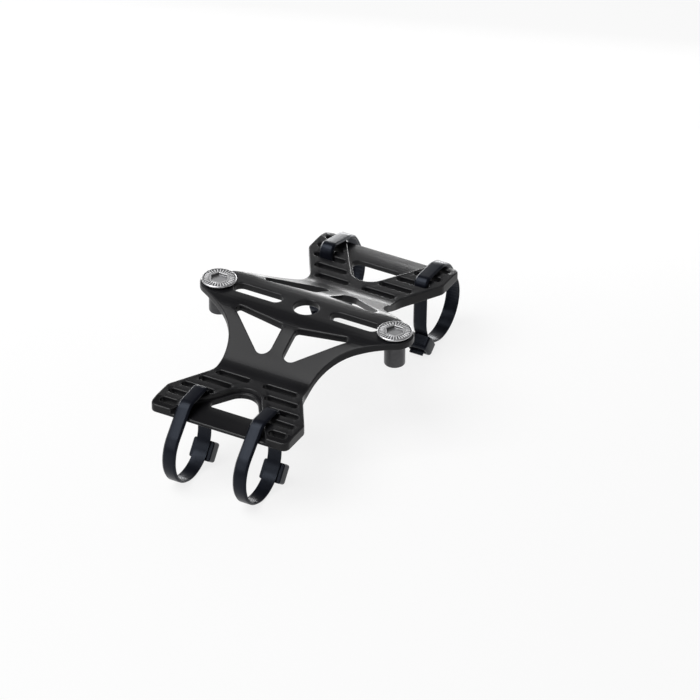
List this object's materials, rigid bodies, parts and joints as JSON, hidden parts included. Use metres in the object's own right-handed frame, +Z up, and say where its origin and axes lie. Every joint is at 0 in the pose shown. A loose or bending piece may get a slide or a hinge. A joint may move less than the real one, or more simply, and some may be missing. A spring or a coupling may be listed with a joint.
{
  "type": "bottle cage adapter",
  "caption": "Arched moulded bracket that straps across two parallel bar extension tubes with cable ties and carries a bottle cage on bolts along its crest.",
  "frame": {"origin": "on the surface that the adapter stands on, below the middle of its box", "axes": "+X along the tubes, +Y across the span from the front tube to the rear tube, +Z up"},
  "size_m": [0.0764, 0.1326, 0.0382],
  "materials": {
    "bridge_plastic": "satin black moulded plastic",
    "bolt_steel": "bright turned steel with a radially serrated head",
    "insert_steel": "dark plated steel",
    "tie_nylon": "smooth black nylon"
  },
  "bodies": {
    "root": {"bridge": "bridge_plastic", "cage_bolt_left": "bolt_steel", "cage_bolt_right": "bolt_steel", "threaded_insert_left": "insert_steel", "threaded_insert_right": "insert_steel", "cable_tie_front_left": "tie_nylon", "cable_tie_front_right": "tie_nylon", "cable_tie_rear_left": "tie_nylon", "cable_tie_rear_right": "tie_nylon"}
  },
  "joints": []
}
